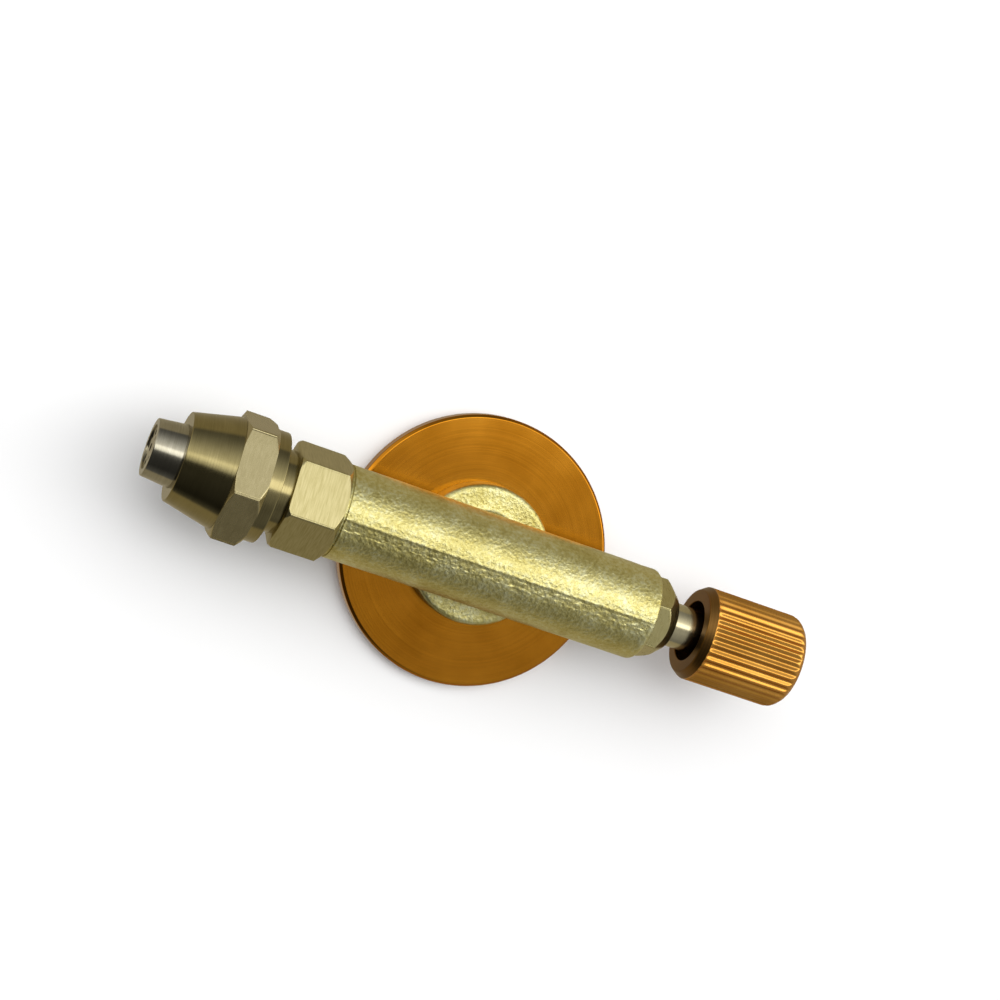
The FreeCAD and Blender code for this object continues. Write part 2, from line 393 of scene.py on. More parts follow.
def forged_brass():
    """Shot-blasted forging skin, with brushed machined flats on the spanner hexagon."""
    material, tree, coords = new_material("forged_brass")
    broad = noise_at(tree, coords, 230, 3)
    grain = noise_at(tree, coords, 1700, 5, 0.62)
    fine = noise_at(tree, coords, 4200, 4, 0.6)
    dents = node(tree, "TexVoronoi", Vector=coords, Scale=1900.0, Randomness=1.0).outputs["Distance"]
    skin = weighted(tree, grain, 0.6, broad, 0.4)
    forged_colour = ramp(tree, skin, [(0.34, FORGED_DARK), (0.50, FORGED_MIDDLE), (0.66, FORGED_PALE)])
    x = node(tree, "SeparateXYZ", Vector=coords).outputs["X"]
    flats = math_node(tree, "LESS_THAN", x, (BODY_HEX_END + 0.1) * MM)
    marks = flat_marks(tree, coords, 5200, 420)
    milled_colour = ramp(tree, marks, [(0.32, MILLED_DARK), (0.66, MILLED_PALE)])
    colour = node(tree, "Mix", {"data_type": "RGBA"}, Factor=flats, i6=forged_colour, i7=milled_colour)
    forged_rough = spread(tree, grain, 0.26, 0.44)
    milled_rough = spread(tree, marks, 0.24, 0.40)
    rough = node(tree, "Mix", Factor=flats, i2=forged_rough, i3=milled_rough).outputs[0]
    pits = math_node(tree, "ADD", grain, math_node(tree, "MULTIPLY", dents, 0.5))
    pits = math_node(tree, "ADD", pits, math_node(tree, "MULTIPLY", fine, 0.45))
    strokes = math_node(tree, "MULTIPLY", marks, 0.14)
    height = node(tree, "Mix", Factor=flats, i2=pits, i3=strokes).outputs[0]
    finish_shader(tree, Base_Color=colour.outputs[2], Metallic=1.0, Roughness=rough,
                  Normal=bump(tree, height, BLAST_DEPTH))
    return material


def machined_brass(name, axis, pitch, dark, pale, rough, depth=0.000006):
    material, tree, coords = new_material(name)
    marks = turning_marks(tree, coords, axis, pitch)
    stain = noise_at(tree, coords, 350, 4)
    tone = weighted(tree, marks, 0.6, stain, 0.4)
    colour = ramp(tree, tone, [(0.32, dark), (0.68, pale)])
    shine = spread(tree, tone, rough - 0.05, rough + 0.07)
    finish_shader(tree, Base_Color=colour, Metallic=1.0, Roughness=shine, Normal=bump(tree, marks, depth))
    return material


def gold_anodised(name, axis, depth, dark, pale, rough):
    material, tree, coords = new_material(name)
    marks = turning_marks(tree, coords, axis, 0.00014, 0.7)
    cloud = noise_at(tree, coords, 140, 3)
    tone = weighted(tree, marks, 0.45, cloud, 0.55)
    colour = ramp(tree, tone, [(0.32, dark), (0.68, pale)])
    shine = spread(tree, tone, rough - 0.03, rough + 0.05)
    finish_shader(tree, Base_Color=colour, Metallic=1.0, Roughness=shine, Normal=bump(tree, marks, depth))
    return material


def plain_material(name, dark, pale, metallic, rough, scale, depth):
    material, tree, coords = new_material(name)
    grain = noise_at(tree, coords, scale, 5, 0.6)
    colour = ramp(tree, grain, [(0.3, dark), (0.7, pale)])
    finish_shader(tree, Base_Color=colour, Metallic=metallic,
                  Roughness=spread(tree, grain, rough - 0.06, rough + 0.1), Normal=bump(tree, grain, depth))
    return material


# name, axis, pitch of the marks in metres, dark tone, pale tone, roughness
FORGED = forged_brass()
TURNED = machined_brass("turned_brass", "X", 0.00010, (0.255, 0.21, 0.088), (0.35, 0.295, 0.138), 0.14)
FLATS = machined_brass("cap_flats", "X", 0.00030, (0.40, 0.34, 0.17), (0.51, 0.44, 0.24), 0.26, 0.000003)
BRIGHT = machined_brass("upright_brass", "Z", 0.00012, (0.50, 0.42, 0.18), (0.68, 0.60, 0.32), 0.24)
STEEL = machined_brass("turned_stainless", "X", 0.00010, (0.31, 0.285, 0.205), (0.45, 0.42, 0.33), 0.14)
NICKEL = machined_brass("polished_nickel", "X", 0.00012, (0.48, 0.42, 0.25), (0.62, 0.56, 0.36), 0.17)
GLAND = machined_brass("gland_brass", "X", 0.00025, (0.46, 0.40, 0.16), (0.62, 0.55, 0.26), 0.27)
# name, axis, depth of the marks in metres, dark tone, pale tone, roughness
DISC_GOLD = gold_anodised("anodised_disc", "Z", 0.0000012, (0.41, 0.148, 0.007), (0.57, 0.232, 0.017), 0.15)
KNOB_GOLD = gold_anodised("anodised_knob", "X", 0.000002, (0.56, 0.245, 0.032), (0.74, 0.37, 0.075), 0.24)
# painted shade: a dark brown copy of the knob's gold anodising, standing in for the shade on the knob's inner
# end beside the barrel
KNOB_PAINTED_SHADE = gold_anodised("anodised_knob_painted_shade", "X", 0.000002, (0.16, 0.08, 0.02), (0.26, 0.135, 0.035), 0.34)
# name, dark tone, pale tone, metallic, roughness, grains in a metre, depth of the grain in metres
COPPER = plain_material("annealed_copper", (0.55, 0.24, 0.13), (0.78, 0.42, 0.27), 1.0, 0.35, 900, 0.00001)
BRONZE = plain_material("sintered_bronze", (0.25, 0.16, 0.07), (0.62, 0.43, 0.22), 1.0, 0.5, 6000, 0.00006)
RUBBER = plain_material("nitrile_rubber", (0.012, 0.012, 0.013), (0.03, 0.03, 0.03), 0.0, 0.5, 2500, 0.00001)
PTFE = plain_material("white_ptfe", (0.72, 0.72, 0.69), (0.86, 0.86, 0.83), 0.0, 0.4, 800, 0.00001)
ZINC = plain_material("zinc_plate", (0.50, 0.51, 0.53), (0.72, 0.73, 0.74), 1.0, 0.28, 1200, 0.000008)


# --- hexagons ---
CORNER_OFFSETS = (0, 0.35, 0.7, 1.05, 1.4, 1.9)     # degrees each side of a corner for a ring's extra points
CLOSEST = 0.003                                     # radians between neighbouring points of a ring


def hexagon_radius(angle, flat, clock, corner_round=0.18):
    """Distance from the axis to a hexagon's side, with slightly rounded corners."""
    from_corner = math.remainder(angle - math.radians(clock), math.pi / 3)
    side = flat / math.cos(math.pi / 6 - abs(from_corner))
    centre = (flat - corner_round) / COS_30
    inside = corner_round ** 2 - (centre * math.sin(from_corner)) ** 2
    if inside <= 0:
        return side
    return min(side, centre * math.cos(from_corner) + math.sqrt(inside))


def hexagon_corner(flat):
    """A radius just outside a hexagon's corners."""
    return flat / COS_30 + 0.02


def hexagon_angles(count, clock):
    """Evenly spread angles with extra ones close to the hexagon's corners."""
    angles = set(even_angles(count))
    for corner in range(6):
        middle = math.radians(clock + 60 * corner)
        for offset in CORNER_OFFSETS:
            for sign in (-1, 1):
                angles.add((middle + sign * math.radians(offset)) % FULL_TURN)
    kept = []
    for angle in sorted(angles):
        if not kept or angle - kept[-1] > CLOSEST:
            kept.append(angle)
    return kept


# --- forged body: barrel ---
FLASH_START = math.radians(93)      # where the trimmed flash starts, from +Y towards +Z
FLASH_WIDTH = 15.0                  # degrees, on average
LIP, LIP_WIDTH = 0.085, 0.020       # raised edge: millimetres, radians
NICK, NICK_WIDTH = 0.10, 0.022      # nicks just inside it
BORDER, BORDER_WIDTH = 0.075, 0.030     # crease along the far edge
TEAR = 0.07


def skin_noise(x, angle, scale, seed):
    across = BARREL_R * math.cos(angle) / scale + seed
    return noise.noise(Vector((x / scale, across, BARREL_R * math.sin(angle) / scale)))


def bell(offset, width):
    return math.exp(-(offset / width) ** 2)


def flash_depth(x, angle, side):
    """How far the trimmed flash on one side of the barrel stands in or out of the round."""

    def wander(rate, seed):
        return noise.noise(Vector((x * rate, seed, side)))

    ragged = 6 * noise.noise(Vector((x / 8, side * 5, 0.3)))
    ragged += 5 * noise.noise(Vector((x / 2.4, 1, side)))
    width = math.radians(FLASH_WIDTH + ragged + 6 * abs(x - 3) / 30)
    offset = math.remainder(angle - (FLASH_START + side * math.pi), FULL_TURN)
    lip = LIP * bell(offset, LIP_WIDTH) * (1 + 0.9 * wander(1.6, 4))
    nick = NICK * bell(offset - 0.045, NICK_WIDTH) * max(0.0, 0.25 + 1.6 * wander(0.9, 9))
    border = BORDER * bell(offset - width, BORDER_WIDTH) * max(0.0, 0.5 + 1.5 * wander(0.7, 2))
    edges = lip - nick - border
    if not 0 < offset < width:
        return edges
    chord = BARREL_R * (math.cos(width / 2) / math.cos(offset - width / 2) - 1)
    torn = TEAR * wander(1.1, angle * 12) + TEAR * wander(2.6, angle * 22)
    fade = math.sin(math.pi * offset / width)
    return chord * 1.2 + torn * fade + edges


def forged_radius(x, radius, angle):
    if x < BODY_HEX_END + 0.001:
        if radius > BODY_HEX_FLAT - 0.5:
            return min(radius, hexagon_radius(angle, BODY_HEX_FLAT, BODY_HEX_CLOCK))
        return radius
    if radius < 5.2:
        return radius
    fade_in = min(1.0, max(0.0, (x - BODY_HEX_END - 0.3) / 0.5))
    fade_out = min(1.0, max(0.0, (BODY_HIGH.x - x) / 1.5))
    wave = 0.030 * skin_noise(x, angle, 4.0, 0) + 0.022 * skin_noise(x, angle, 1.3, 7)
    wave += 0.010 * skin_noise(x, angle, 0.5, 3)
    fade = fade_in * fade_out
    return radius + fade * (wave - 0.02 + flash_depth(x, angle, 0) + flash_depth(x, angle, 1))


def barrel_steps(here, following):
    if min(here.y, following.y) < 5.6:
        return None
    if here.x > BODY_HEX_END:
        return 0.27
    return 0.12 if steep(here, following) else 0.6


def barrel_shell():
    left, right = BODY_LOW.x, BODY_HIGH.x
    corner = hexagon_corner(BODY_HEX_FLAT)
    groove_end = BODY_HEX_END + GROOVE_W
    outline = [
        (left, SOCKET_R, 0.1), (left, 7.7, 0.05), (left + 0.6, corner, 0.1),
        (BODY_HEX_END - 0.9, corner, 0.15), (BODY_HEX_END, BARREL_R + 0.05, 0.08),
        (BODY_HEX_END, GROOVE_R, 0.05), (groove_end, GROOVE_R, 0.05), (groove_end, BARREL_R, 0.12),
        (right, BARREL_R, 1.5), (right, GLAND_R, 0.12), (THREAD_END, GLAND_R, 0), (THREAD_END, THREAD_R, 0),
        (CHAMBER_END, THREAD_R, 0), (CHAMBER_END, CHAMBER_R, 0), (SEAT_END, CHAMBER_R, 0),
        (SEAT_END, SEAT_R, 0), (SEAT_START, SEAT_R, 0), (SEAT_START, OUTLET_R, 0),
        (SOCKET_END, OUTLET_R, 0), (SOCKET_END, SOCKET_R, 0)]
    fine = divided(eased(outline, 6), barrel_steps)
    rings = along_barrel(fine, hexagon_angles(230, BODY_HEX_CLOCK), forged_radius)
    return mesh_from_rings("barrel", rings, True)


# --- forged body: boss and neck ---
WALL_LOW = SHOULDER_Z + SHOULDER_FILLET
FILLET_STEPS = 7
WALL_STEPS = 6


def shoulder_fillet(angle, t):
    out = NECK_R + SHOULDER_FILLET * (1 - t) ** 2
    return (out * math.cos(angle), out * math.sin(angle), SHOULDER_Z + SHOULDER_FILLET * t ** 2)


def junction(angle):
    """Where the neck's wall would meet the barrel: x, y, angle from the barrel's lowest line, height."""
    across = NECK_R * math.sin(angle)
    turn = math.asin(across / BARREL_R)
    return NECK_R * math.cos(angle), across, turn, AXIS_Z - BARREL_R * math.cos(turn)


def wall_high(top):
    return max(top - NECK_FILLET, WALL_LOW + 0.05)


def neck_wall(angle, t):
    x, y, _, top = junction(angle)
    return (x, y, WALL_LOW + (wall_high(top) - WALL_LOW) * t)


def neck_fillet(angle, t):
    x, y, turn, top = junction(angle)
    start = Vector((x, y, wall_high(top)))
    corner = Vector((x, y, top))
    reach = turn + NECK_FILLET * math.sin(angle) / BARREL_R
    sunk = BARREL_R - 0.12
    end = Vector((x + NECK_FILLET * math.cos(angle), sunk * math.sin(reach), AXIS_Z - sunk * math.cos(reach)))
    return tuple(start.lerp(corner, t).lerp(corner.lerp(end, t), t))


def roughen(ring):
    """Forging skin on the boss and neck, away from the machined bore, spigot and underside."""
    for k, (x, y, z) in enumerate(ring):
        out = math.hypot(x, y)
        if DISC_TOP + 0.3 < z < 12.5 and out > 6.0:
            place = Vector((x / 1.3, y / 1.3, z / 1.3))
            lift = 0.018 * noise.noise(place) + 0.008 * noise.noise(place * 3)
            ring[k] = (x * (1 + lift / out), y * (1 + lift / out), z + lift)


def boss_shell():
    """Boss, spigot and upright neck, with a fillet that climbs on to the barrel."""
    angles = even_angles(160)
    outline = [
        (PIN_BORE_TOP, 0, 0), (PIN_BORE_TOP, PIN_BORE_R, 0), (SEAL_POCKET_TOP, PIN_BORE_R, 0),
        (SEAL_POCKET_TOP, SEAL_POCKET_R, 0), (RELIEF_TOP, SEAL_POCKET_R, 0.05), (RELIEF_TOP, RELIEF_R, 0),
        (INLET_TOP, RELIEF_R, 0), (INLET_TOP, INLET_R, 0), (0, INLET_R, 0.25), (0, SPIGOT_R, 0.2),
        (DISC_TOP, SPIGOT_R, 0), (DISC_TOP, BOSS_R, 0.12), (SHOULDER_Z, BOSS_R, 0.9), (SHOULDER_Z, NECK_R, 0)]
    rings = about_inlet(eased(outline, 6)[:-1], angles)
    for step in range(FILLET_STEPS + 1):
        rings.append([shoulder_fillet(angle, step / FILLET_STEPS) for angle in angles])
    for step in range(1, WALL_STEPS):
        rings.append([neck_wall(angle, step / WALL_STEPS) for angle in angles])
    for step in range(FILLET_STEPS + 1):
        rings.append([neck_fillet(angle, step / FILLET_STEPS) for angle in angles])
    rings.append([(0.75 * NECK_R * math.cos(a), 0.6 * NECK_R * math.sin(a), CROWN_Z) for a in angles])
    rings.append([(0, 0, CROWN_Z)])
    for ring in rings:
        roughen(ring)
    return mesh_from_rings("boss", rings, False)


def gas_way_shell():
    """Drilled through the barrel's wall: the top of the pin's bore and the riser to the valve chamber."""
    outline = [(DRILLED_BORE_LOW, 0), (DRILLED_BORE_LOW, DRILLED_BORE_R), (PIN_BORE_TOP, DRILLED_BORE_R),
               (PIN_BORE_TOP, RISER_R), (AXIS_Z, RISER_R), (AXIS_Z, 0)]
    rings = about_inlet([Vector(point) for point in outline], even_angles(96))
    return mesh_from_rings("gas_way", rings, False)


def carved(name, steps):
    """Join or cut shells in order and return the result as one mesh."""
    pieces = []
    for shell, operation in steps:
        made = linked_object(name, shell)
        pieces.append(made)
        if operation:
            change = pieces[0].modifiers.new(operation.lower(), "BOOLEAN")
            change.operation = operation
            change.solver = "MANIFOLD"
            change.object = made
    mesh = evaluated_mesh(pieces[0])
    for made in pieces:
        bpy.data.objects.remove(made)
    mesh.name = name
    mesh.materials.clear()
    weld(mesh)
    mesh.shade_smooth()
    return mesh


def forged_body():
    steps = [(barrel_shell(), None), (boss_shell(), "UNION"), (gas_way_shell(), "DIFFERENCE")]
    add_piece("forged_body", carved("forged_body", steps), FORGED, "body", "valve_body")


# --- nozzle ---
def cap_radius(x, radius, angle):
    if CAP_HEX_START - 0.001 <= x <= CAP_HIGH.x + 0.001 and radius > CAP_HEX_FLAT - 0.15:
        return min(radius, hexagon_radius(angle, CAP_HEX_FLAT, CAP_HEX_CLOCK))
    return radius


def cap_steps(here, following):
    if here.x < CAP_HEX_START - 0.001 or min(here.y, following.y) < 8.4:
        return None
    return 0.08 if steep(here, following) else 0.8


def nozzle_cap():
    corner = hexagon_corner(CAP_HEX_FLAT)
    start, end = CAP_HEX_START, CAP_HIGH.x
    socket = TIP_HIGH.x - TIP_FLANGE_W
    outline = [
        (CAP_LOW.x, TIP_R + 0.02, 0.08), (CAP_LOW.x, CONE_SMALL_R, 0.15), (start, CONE_LARGE_R, 0.03),
        (start, 8.7, 0.03), (start + 0.5, corner, 0.08), (end - 0.9, corner, 0.1), (end, 8.85, 0.05),
        (end, UNION_R + 0.02, 0.1), (ADAPTER_LOW.x, UNION_R + 0.02, 0), (ADAPTER_LOW.x, TIP_FLANGE_R, 0),
        (socket, TIP_FLANGE_R, 0), (socket, TIP_R + 0.02, 0)]
    fine = divided(eased(outline, 5), cap_steps)
    rings = along_barrel(fine, hexagon_angles(180, CAP_HEX_CLOCK), cap_radius)
    mesh = mesh_from_rings("nozzle_cap", rings, True)
    mesh.materials.append(TURNED)
    mesh.materials.append(FLATS)
    for face in mesh.polygons:
        middle = face.center / MM
        if middle.x > start and math.hypot(middle.y, middle.z - AXIS_Z) > 8.35:
            face.material_index = 1
    add_piece("cone_cap", mesh, TURNED, "body", "nozzle_cap")


def nozzle_adapter():
    collar, neck = CAP_HIGH.x, BODY_LOW.x
    front_bore, rear_bore, bore_step = 2.5, 2.0, -39.5
    outline = [
        (ADAPTER_LOW.x, front_bore, 0.05), (ADAPTER_LOW.x, UNION_R, 0.1), (collar, UNION_R, 0),
        (collar, COLLAR_R, 0.08), (collar + COLLAR_W, COLLAR_R, 0.2),
        (collar + COLLAR_W, ADAPTER_NECK_R, 0.15), (neck, ADAPTER_NECK_R, 0.05),
        (neck, SOCKET_R, 0), (ADAPTER_HIGH.x, SOCKET_R, 0.1),
        (ADAPTER_HIGH.x, rear_bore, 0.05), (bore_step, rear_bore, 0), (bore_step, front_bore, 0)]
    rings = along_barrel(eased(outline, 5), even_angles(144))
    add_piece("union_collar", mesh_from_rings("union_collar", rings, True), TURNED, "body", "nozzle_adapter")


def nozzle_tip():
    flange = TIP_HIGH.x - TIP_FLANGE_W
    outline = [
        (TIP_LOW.x, TIP_BORE_R, 0.03), (TIP_LOW.x, TIP_END_R, 0.15), (CAP_LOW.x, TIP_R, 0.03),
        (flange, TIP_R, 0), (flange, TIP_FLANGE_R, 0), (TIP_HIGH.x, TIP_FLANGE_R, 0),
        (TIP_HIGH.x, TIP_BORE_R, 0)]
    rings = along_barrel(eased(outline, 5), even_angles(128))
    add_piece("steel_tip", mesh_from_rings("steel_tip", rings, True), STEEL, "body", "nozzle_tip")


# --- gland nut, spindle ---
def gland_radius(x, radius, angle):
    if x > BODY_HIGH.x - 0.001 and radius > 4.0:
        return min(radius, hexagon_radius(angle, GLAND_HEX_FLAT, GLAND_HEX_CLOCK))
    return radius


def gland_steps(here, following):
    outside = here.x > BODY_HIGH.x - 0.001 and min(here.y, following.y) > 4.0
    return 0.12 if outside else None


def gland_nut():
    start, end = BODY_HIGH.x, GLAND_HIGH.x
    corner = hexagon_corner(GLAND_HEX_FLAT)
    outline = [
        (GLAND_LOW.x, BORE_R, 0), (GLAND_LOW.x, GLAND_R, 0), (start, GLAND_R, 0), (start, corner, 0.05),
        (GLAND_HEX_END, corner, 0.25), (end, 4.1, 0.15), (end, BORE_R, 0.12)]
    fine = divided(eased(outline, 5), gland_steps)
    rings = along_barrel(fine, hexagon_angles(150, GLAND_HEX_CLOCK), gland_radius)
    add_piece("packing_nut", mesh_from_rings("packing_nut", rings, True), GLAND, "body", "gland_nut")


def drive_radius(x, radius, angle):
    """The spindle's end inside the knob has one flat, which faces up."""
    lean = math.sin(angle)
    if x > DRIVE_START + 0.001 and DRIVE_FLAT < radius < DRIVE_R + 0.1 and lean > 0.01:
        return min(radius, DRIVE_FLAT / lean)
    return radius


def spindle():
    land, thread, shank, groove = 2.95, 3.95, 2.0, 2.1
    outline = [
        (SPINDLE_LOW.x, 0, 0), (SPINDLE_LOW.x, 0.4, 0.1), (-3.6, 1.75, 0.05), (-3.35, shank, 0.05),
        (3.5, shank, 0.05), (4.45, land, 0.05), (6.4, land, 0.05), (6.4, groove, 0.05), (7.5, groove, 0.05),
        (7.5, land, 0.05), (10.7, land, 0.05), (11.3, thread, 0.05), (15.8, thread, 0.05),
        (16.0, thread - 0.2, 0.05), (16.0, STEM_R, 0.05), (DRIVE_START, STEM_R, 0.05),
        (DRIVE_START, DRIVE_R, 0),
        (SPINDLE_HIGH.x, DRIVE_R, 0), (SPINDLE_HIGH.x, SCREW_HOLE_R, 0),
        (SCREW_HOLE_END, SCREW_HOLE_R, 0), (SCREW_HOLE_END, 0, 0)]
    rings = along_barrel(eased(outline, 4), even_angles(128), drive_radius)
    mesh = mesh_from_rings("valve_spindle", rings, False)
    add_piece("valve_spindle", mesh, NICKEL, "spindle_and_knob", "spindle")


# --- flange ---
def flange_disc():
    pocket_r, edge = 12.6, 0.4
    outline = [
        (DISC_TOP, SPIGOT_R, 0.05), (NUT_TOP, SPIGOT_R, 0), (NUT_TOP, pocket_r, 0.1), (0, pocket_r, 0.15),
        (0, DISC_R - edge, 0.1), (edge, DISC_R, 0.1), (DISC_TOP - edge, DISC_R, 0.1),
        (DISC_TOP, DISC_R - edge, 0.1)]
    rings = about_inlet(eased(outline, 4), even_angles(256))
    add_piece("gold_flange", mesh_from_rings("gold_flange", rings, True), DISC_GOLD, "body", "flange_disc")


# --- geometry nodes ---
def geometry_tree(name, sockets):
    tree = bpy.data.node_groups.new(name, "GeometryNodeTree")
    tree.interface.new_socket("Geometry", in_out="INPUT", socket_type="NodeSocketGeometry")
    for socket_name, kind in sockets:
        tree.interface.new_socket(socket_name, in_out="INPUT", socket_type="NodeSocket" + kind)
    tree.interface.new_socket("Geometry", in_out="OUTPUT", socket_type="NodeSocketGeometry")
    return tree, tree.nodes.new("NodeGroupInput").outputs


def tree_node(tree, kind, settings=None, inputs=None):
    made = tree.nodes.new(kind)
    for key, value in (settings or {}).items():
        setattr(made, key, value)
    for key, value in (inputs or {}).items():
        socket = made.inputs[key]
        if isinstance(value, bpy.types.NodeSocket):
            tree.links.new(value, socket)
        else:
            socket.default_value = value
    return made


def tree_math(tree, operation, first, second=0.0, third=0.0, clamp=False):
    settings = {"operation": operation, "use_clamp": clamp}
    return tree_node(tree, "ShaderNodeMath", settings, {0: first, 1: second, 2: third}).outputs[0]


def tree_end(tree, geometry, material):
    """Realize what the tree made, give it its material and pass it out."""
    whole = tree_node(tree, "GeometryNodeRealizeInstances", inputs={0: geometry}).outputs[0]
    named = tree_node(tree, "GeometryNodeSetMaterial", inputs={"Geometry": whole, "Material": material})
    outside = tree.nodes.new("NodeGroupOutput")
    tree.links.new(named.outputs[0], outside.inputs[0])


def through_tree(mesh, tree, values):
    """Run a mesh through a geometry tree with the given named inputs and return the plain result."""
    carrier = linked_object("carrier", mesh)
    modifier = carrier.modifiers.new("shape", "NODES")
    modifier.node_group = tree
    for item in tree.interface.items_tree:
        if item.in_out == "INPUT" and item.name in values:
            modifier[item.identifier] = values[item.name]
    result = evaluated_mesh(carrier)
    bpy.data.objects.remove(carrier)
    return result


# --- inlet thread ---
THREAD_PITCH = 25.4 / 28            # 28 turns to the inch
THREAD_LOW, THREAD_HIGH = 0.45, 4.3
THREAD_RIDGE = 0.36                 # from the ridge's middle to its corners
THREAD_SINK = 0.13                  # how far the ridge's middle stands in from the bore


def thread_tree():
    """Winds a three-sided ridge up the wall of a bore."""
    tree, give = geometry_tree("Inlet Thread", [
        ("Bore Radius", "Float"), ("Ridge Size", "Float"), ("Turns", "Float"), ("Climb", "Float"),
        ("Start Height", "Float"), ("Finish", "Material")])
    path = tree_node(tree, "GeometryNodeCurveSpiral", inputs={
        "Resolution": 72, "Rotations": give["Turns"], "Start Radius": give["Bore Radius"],
        "End Radius": give["Bore Radius"], "Height": give["Climb"]})
    upright = tree_node(tree, "GeometryNodeSetCurveNormal", {"mode": "Z_UP"}, {"Curve": path.outputs[0]})
    ridge = tree_node(tree, "GeometryNodeCurvePrimitiveCircle", inputs={
        "Resolution": 3, "Radius": give["Ridge Size"]})
    wound = tree_node(tree, "GeometryNodeCurveToMesh", inputs={
        "Curve": upright.outputs[0], "Profile Curve": ridge.outputs[0], "Fill Caps": True})
    lift = tree_node(tree, "ShaderNodeCombineXYZ", inputs={"Z": give["Start Height"]}).outputs[0]
    placed = tree_node(tree, "GeometryNodeSetPosition", inputs={"Geometry": wound.outputs[0], "Offset": lift})
    tree_end(tree, placed.outputs[0], give["Finish"])
    return tree


def inlet_thread():
    """Thread in the inlet, which screws on to a gas canister's valve."""
    climb = THREAD_HIGH - THREAD_LOW
    mesh = through_tree(bpy.data.meshes.new("thread_blank"), thread_tree(), {
        "Bore Radius": (INLET_R - THREAD_SINK) * MM, "Ridge Size": THREAD_RIDGE * MM,
        "Turns": climb / THREAD_PITCH, "Climb": climb * MM, "Start Height": THREAD_LOW * MM,
        "Finish": BRIGHT})
    face_outwards(mesh)
    mesh.name = "inlet_thread"
    piece = linked_object("inlet_thread", mesh)
    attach(piece, "body")


# --- knob ---
RIDGE_DEPTH = 0.34
RUN_OUT = 0.35                      # length over which a groove rises to the skin at its ends


def ridge_tree():
    """Presses straight grooves into a round skin, which leaves rounded ridges along the barrel's axis."""
    tree, give = geometry_tree("Knob Ridges", [
        ("Ridge Count", "Int"), ("Groove Depth", "Float"), ("Axis Height", "Float"), ("Skin Radius", "Float"),
        ("Start", "Float"), ("End", "Float"), ("Run Out", "Float"), ("Finish", "Material")])
    place = tree_node(tree, "GeometryNodeInputPosition").outputs[0]
    xyz = tree_node(tree, "ShaderNodeSeparateXYZ", inputs={0: place}).outputs
    rise = tree_math(tree, "SUBTRACT", xyz["Z"], give["Axis Height"])
    across_squared = tree_math(tree, "MULTIPLY", xyz["Y"], xyz["Y"])
    rise_squared = tree_math(tree, "MULTIPLY", rise, rise)
    out = tree_math(tree, "SQRT", tree_math(tree, "ADD", across_squared, rise_squared))
    angle = tree_math(tree, "ARCTAN2", rise, xyz["Y"])
    wave = tree_math(tree, "COSINE", tree_math(tree, "MULTIPLY", angle, give["Ridge Count"]))
    dip = tree_math(tree, "POWER", tree_math(tree, "MULTIPLY_ADD", wave, -0.5, 0.5), 0.9)
    from_start = tree_math(tree, "SUBTRACT", xyz["X"], give["Start"])
    to_end = tree_math(tree, "SUBTRACT", give["End"], xyz["X"])
    enter = tree_math(tree, "DIVIDE", from_start, give["Run Out"], clamp=True)
    leave = tree_math(tree, "DIVIDE", to_end, give["Run Out"], clamp=True)
    ends = tree_math(tree, "MULTIPLY", enter, leave)
    pressed = tree_math(tree, "MULTIPLY", dip, give["Groove Depth"])
    groove = tree_math(tree, "MULTIPLY_ADD", pressed, -1.0, give["Skin Radius"])
    target = tree_math(tree, "MINIMUM", out, groove)
    shift = tree_math(tree, "MULTIPLY", tree_math(tree, "SUBTRACT", target, out), ends)
    skin = tree_math(tree, "GREATER_THAN", out, tree_math(tree, "MULTIPLY", give["Skin Radius"], 0.85))
    shift = tree_math(tree, "MULTIPLY", shift, skin)
    outwards = tree_node(tree, "ShaderNodeCombineXYZ", inputs={"Y": xyz["Y"], "Z": rise}).outputs[0]
    unit = tree_node(tree, "ShaderNodeVectorMath", {"operation": "NORMALIZE"}, {0: outwards}).outputs[0]
    offset = tree_node(tree, "ShaderNodeVectorMath", {"operation": "SCALE"}, {0: unit, "Scale": shift})
    moved = tree_node(tree, "GeometryNodeSetPosition", inputs={
        "Geometry": give["Geometry"], "Offset": offset.outputs[0]})
    tree_end(tree, moved.outputs[0], give["Finish"])
    return tree


def knob_steps(here, following):
    return 0.35 if min(here.y, following.y) > 6.0 else None


def knob():
    start, end = KNOB_LOW.x, KNOB_HIGH.x
    recess = start + RECESS_DEPTH
    outline = [
        (start, RECESS_R, 0.12), (start, KNOB_FACE_R, 0.2), (start + KNOB_BEVEL, KNOB_R, 0.15),
        (end - 1.2, KNOB_R, 1.1), (end, 6.2, 0.5), (end, SCREW_POCKET_R, 0.15),
        (WASHER_INNER, SCREW_POCKET_R, 0), (WASHER_INNER, DRIVE_R, 0), (DRIVE_START, DRIVE_R, 0),
        (DRIVE_START, STEM_R, 0), (recess, STEM_R, 0),
        (recess, RECESS_R, 0.3)]
    fine = divided(eased(outline, 6), knob_steps)
    blank = mesh_from_rings("knob_blank", along_barrel(fine, even_angles(RIDGES * 14), drive_radius), True)
    mesh = through_tree(blank, ridge_tree(), {
        "Ridge Count": RIDGES, "Groove Depth": RIDGE_DEPTH * MM, "Axis Height": AXIS_Z * MM,
        "Skin Radius": KNOB_R * MM, "Start": (start + KNOB_BEVEL) * MM, "End": (end + 0.2) * MM,
        "Run Out": RUN_OUT * MM, "Finish": KNOB_GOLD})
    mesh.shade_smooth()
    # The inner face, bevel and recess get the painted shade material; the real anodising there is the same
    # gold as the ridges.
    mesh.materials.append(KNOB_PAINTED_SHADE)
    for face in mesh.polygons:
        middle = face.center / MM
        in_recess = middle.x < recess + 0.5 and math.hypot(middle.y, middle.z - AXIS_Z) < 5.0
        if middle.x < start + KNOB_BEVEL or in_recess:
            face.material_index = 1
    add_piece("ridged_knob", mesh, KNOB_GOLD, "spindle_and_knob", "knob")


